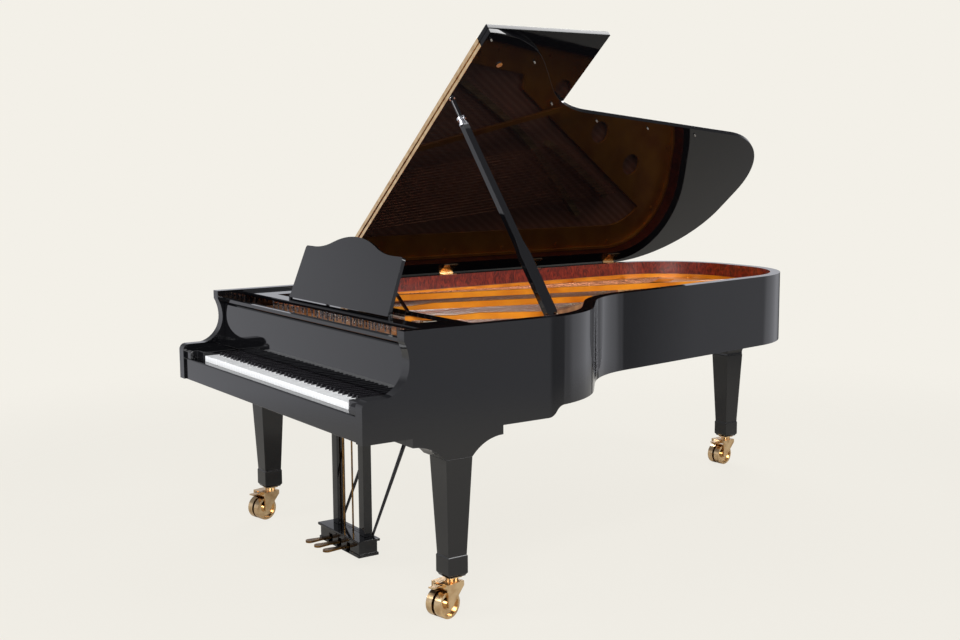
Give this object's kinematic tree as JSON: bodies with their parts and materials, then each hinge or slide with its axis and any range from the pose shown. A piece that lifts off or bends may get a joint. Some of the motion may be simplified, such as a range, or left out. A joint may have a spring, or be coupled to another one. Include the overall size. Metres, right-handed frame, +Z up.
{
  "type": "concert grand piano",
  "caption": "Black lacquered concert grand piano with a propped lid, music desk, keyboard, gilt iron plate and casters.",
  "frame": {"origin": "on the floor, midway across the case, at the middle of the overall box to within about 16 mm", "axes": "+X to the treble end of the keyboard, +Y from the player to the tail, +Z up"},
  "size_m": [1.6036, 2.796, 2.0407],
  "materials": {
    "black_polyester": "gloss black polyester lacquer",
    "bubinga_veneer": "gloss figured red-brown veneer",
    "beech": "satin beech",
    "spruce": "satin varnished spruce",
    "gold_iron": "gold lacquer",
    "steel_wire": "bright drawn wire",
    "copper_wire": "copper winding",
    "blued_steel": "satin",
    "white_keytop": "satin white",
    "black_keytop": "satin black",
    "hammer_felt": "felt on beech",
    "damper_black": "satin black",
    "brass": "polished",
    "pale_rubber": "matte"
  },
  "bodies": {
    "case": {"outer_rim": "black_polyester", "rim_lining": "bubinga_veneer", "inner_rim": "beech", "keybed": "black_polyester", "keyslip": "black_polyester", "key_blocks": "black_polyester", "leg_blocks": "black_polyester", "soundboard": "spruce", "case_beams": "beech", "iron_plate": "gold_iron", "pin_plank": "beech", "bridges": "beech", "steel_strings": "steel_wire", "bass_strings": "copper_wire", "tuning_pins": "blued_steel", "desk_rails": "black_polyester", "lid_hinge_rim_leaves": "brass", "prop_bracket": "brass", "leg_left": "black_polyester", "leg_right": "black_polyester", "leg_tail": "black_polyester", "caster_plates": "brass", "lyre_posts": "black_polyester", "pedal_box": "black_polyester", "lyre_braces": "black_polyester"},
    "action": {"action_frame": "beech"},
    "naturals": {"white_keys": "white_keytop"},
    "sharps": {"black_keys": "black_keytop"},
    "natural_hammers": {"white_hammers": "hammer_felt"},
    "sharp_hammers": {"black_hammers": "hammer_felt"},
    "dampers": {"dampers": "damper_black"},
    "fallboard": {"fallboard": "black_polyester"},
    "desk_tray": {"desk_tray": "black_polyester"},
    "desk_panel": {"desk_panel": "black_polyester"},
    "desk_struts": {"desk_struts": "black_polyester"},
    "lid": {"lid_main": "black_polyester", "lid_hinge_lid_leaves": "brass", "lid_bumpers": "pale_rubber", "prop_cups": "brass", "long_hinge_main_leaf": "brass"},
    "lid_flap": {"lid_front": "black_polyester", "long_hinge_front_leaf": "brass"},
    "prop": {"prop_stick": "black_polyester", "prop_rod": "brass", "prop_collar": "brass"},
    "pedal_left": {"pedal_left": "brass"},
    "pedal_rod_left": {"pedal_rod_left": "brass"},
    "pedal_middle": {"pedal_middle": "brass"},
    "pedal_rod_middle": {"pedal_rod_middle": "brass"},
    "pedal_right": {"pedal_right": "brass"},
    "pedal_rod_right": {"pedal_rod_right": "brass"},
    "caster_left": {"caster_left_fork": "brass"},
    "caster_left_wheels": {"caster_left_wheels": "brass"},
    "caster_left_brake": {"caster_left_brake": "brass"},
    "caster_right": {"caster_right_fork": "brass"},
    "caster_right_wheels": {"caster_right_wheels": "brass"},
    "caster_right_brake": {"caster_right_brake": "brass"},
    "caster_tail": {"caster_tail_fork": "brass"},
    "caster_tail_wheels": {"caster_tail_wheels": "brass"},
    "caster_tail_brake": {"caster_tail_brake": "brass"}
  },
  "joints": [
    {"name": "lid_lift", "type": "hinge", "parent": "case", "child": "lid", "pos_m": [-0.777, 0, 1.012], "axis": [0, -1, 0], "range_deg": [0, 10]},
    {"name": "lid_flap_fold", "type": "hinge", "parent": "lid", "child": "lid_flap", "pos_m": [-0.19077, -0.6594, 1.52262], "axis": [0.7756, 0, 0.6312], "range_deg": [0, 179]},
    {"name": "prop_fold", "type": "hinge", "parent": "case", "child": "prop", "pos_m": [0.682, -0.554, 0.984], "axis": [-0.6836, -0.5302, -0.5016], "range_deg": [0, 64.2]},
    {"name": "desk_slide", "type": "slide", "parent": "case", "child": "desk_tray", "axis": [0, 1, 0], "range_m": [0, 0.12]},
    {"name": "desk_fold", "type": "hinge", "parent": "desk_tray", "child": "desk_panel", "pos_m": [0, -1.066, 1.006], "axis": [-1, 0, 0], "range_deg": [0, 60]},
    {"name": "desk_strut_fold", "type": "hinge", "parent": "desk_panel", "child": "desk_struts", "pos_m": [0, -1.01061, 1.11141], "axis": [1, 0, 0], "range_deg": [0, 115.1]},
    {"name": "fallboard_close", "type": "hinge", "parent": "case", "child": "fallboard", "pos_m": [0, -1.204, 0.795], "axis": [1, 0, 0], "range_deg": [0, 90]},
    {"name": "action_shift", "type": "slide", "parent": "case", "child": "action", "axis": [1, 0, 0], "range_m": [0, 0.003], "stiffness_N_per_m": 4000},
    {"name": "naturals_press", "type": "hinge", "parent": "action", "child": "naturals", "pos_m": [0, -1.1, 0.7316], "axis": [1, 0, 0], "range_deg": [0, 2.2], "stiffness_Nm_per_rad": 60},
    {"name": "natural_hammers_strike", "type": "hinge", "parent": "action", "child": "natural_hammers", "pos_m": [0, -0.97, 0.868], "axis": [1, 0, 0], "range_deg": [0, 20.6]},
    {"name": "sharps_press", "type": "hinge", "parent": "action", "child": "sharps", "pos_m": [0, -1.1, 0.7316], "axis": [1, 0, 0], "range_deg": [0, 2.2], "stiffness_Nm_per_rad": 60},
    {"name": "sharp_hammers_strike", "type": "hinge", "parent": "action", "child": "sharp_hammers", "pos_m": [0, -0.97, 0.868], "axis": [1, 0, 0], "range_deg": [0, 20.6]},
    {"name": "damper_lift", "type": "slide", "parent": "case", "child": "dampers", "axis": [0, 0, 1], "range_m": [0, 0.007]},
    {"name": "pedal_left_press", "type": "hinge", "parent": "case", "child": "pedal_left", "pos_m": [-0.072, -1.044, 0.078], "axis": [1, 0, 0], "range_deg": [0, 4.55]},
    {"name": "pedal_rod_left_lift", "type": "slide", "parent": "case", "child": "pedal_rod_left", "axis": [0, 0, 1], "range_m": [0, 0.0023]},
    {"name": "pedal_middle_press", "type": "hinge", "parent": "case", "child": "pedal_middle", "pos_m": [0, -1.044, 0.078], "axis": [1, 0, 0], "range_deg": [0, 4.55], "stiffness_Nm_per_rad": 15},
    {"name": "pedal_rod_middle_lift", "type": "slide", "parent": "case", "child": "pedal_rod_middle", "axis": [0, 0, 1], "range_m": [0, 0.0023]},
    {"name": "pedal_right_press", "type": "hinge", "parent": "case", "child": "pedal_right", "pos_m": [0.072, -1.044, 0.078], "axis": [1, 0, 0], "range_deg": [0, 4.55]},
    {"name": "pedal_rod_right_lift", "type": "slide", "parent": "case", "child": "pedal_rod_right", "axis": [0, 0, 1], "range_m": [0, 0.0023]},
    {"name": "caster_left_swivel", "type": "hinge", "parent": "case", "child": "caster_left", "pos_m": [-0.73, -1.029, 0.122], "axis": [0, 0, 1], "continuous": true},
    {"name": "caster_left_roll", "type": "hinge", "parent": "caster_left", "child": "caster_left_wheels", "pos_m": [-0.72044, -1.074, 0.049], "axis": [0.9781, 0.2079, 0], "continuous": true},
    {"name": "caster_left_brake_tip", "type": "hinge", "parent": "caster_left", "child": "caster_left_brake", "pos_m": [-0.7164, -1.09297, 0.114], "axis": [0.9781, 0.2079, 0], "range_deg": [0, 18]},
    {"name": "caster_right_swivel", "type": "hinge", "parent": "case", "child": "caster_right", "pos_m": [0.73, -1.029, 0.122], "axis": [0, 0, 1], "continuous": true},
    {"name": "caster_right_roll", "type": "hinge", "parent": "caster_right", "child": "caster_right_wheels", "pos_m": [0.73956, -1.074, 0.049], "axis": [0.9781, 0.2079, 0], "continuous": true},
    {"name": "caster_right_brake_tip", "type": "hinge", "parent": "caster_right", "child": "caster_right_brake", "pos_m": [0.7436, -1.09297, 0.114], "axis": [0.9781, 0.2079, 0], "range_deg": [0, 18]},
    {"name": "caster_tail_swivel", "type": "hinge", "parent": "case", "child": "caster_tail", "pos_m": [-0.28003, 1.299, 0.122], "axis": [0, 0, 1], "continuous": true},
    {"name": "caster_tail_roll", "type": "hinge", "parent": "caster_tail", "child": "caster_tail_wheels", "pos_m": [-0.27682, 1.25311, 0.049], "axis": [0.9976, 0.0698, 0], "continuous": true},
    {"name": "caster_tail_brake_tip", "type": "hinge", "parent": "caster_tail", "child": "caster_tail_brake", "pos_m": [-0.27547, 1.23376, 0.114], "axis": [0.9976, 0.0698, 0], "range_deg": [0, 18]}
  ],
  "couplings": [
    {"joint": "prop_fold", "follows": "lid_lift", "ratio": 6.41},
    {"joint": "desk_strut_fold", "follows": "desk_fold", "ratio": 1.9167},
    {"joint": "natural_hammers_strike", "follows": "naturals_press", "ratio": 9.3182},
    {"joint": "sharp_hammers_strike", "follows": "sharps_press", "ratio": 9.3182},
    {"joint": "pedal_left_press", "follows": "action_shift", "rad_per_m": 26.18},
    {"joint": "pedal_rod_left_lift", "follows": "action_shift", "ratio": 0.73333},
    {"joint": "pedal_right_press", "follows": "damper_lift", "rad_per_m": 11.22},
    {"joint": "pedal_rod_right_lift", "follows": "damper_lift", "ratio": 0.31429},
    {"joint": "pedal_rod_middle_lift", "follows": "pedal_middle_press", "m_per_rad": 0.028011}
  ]
}
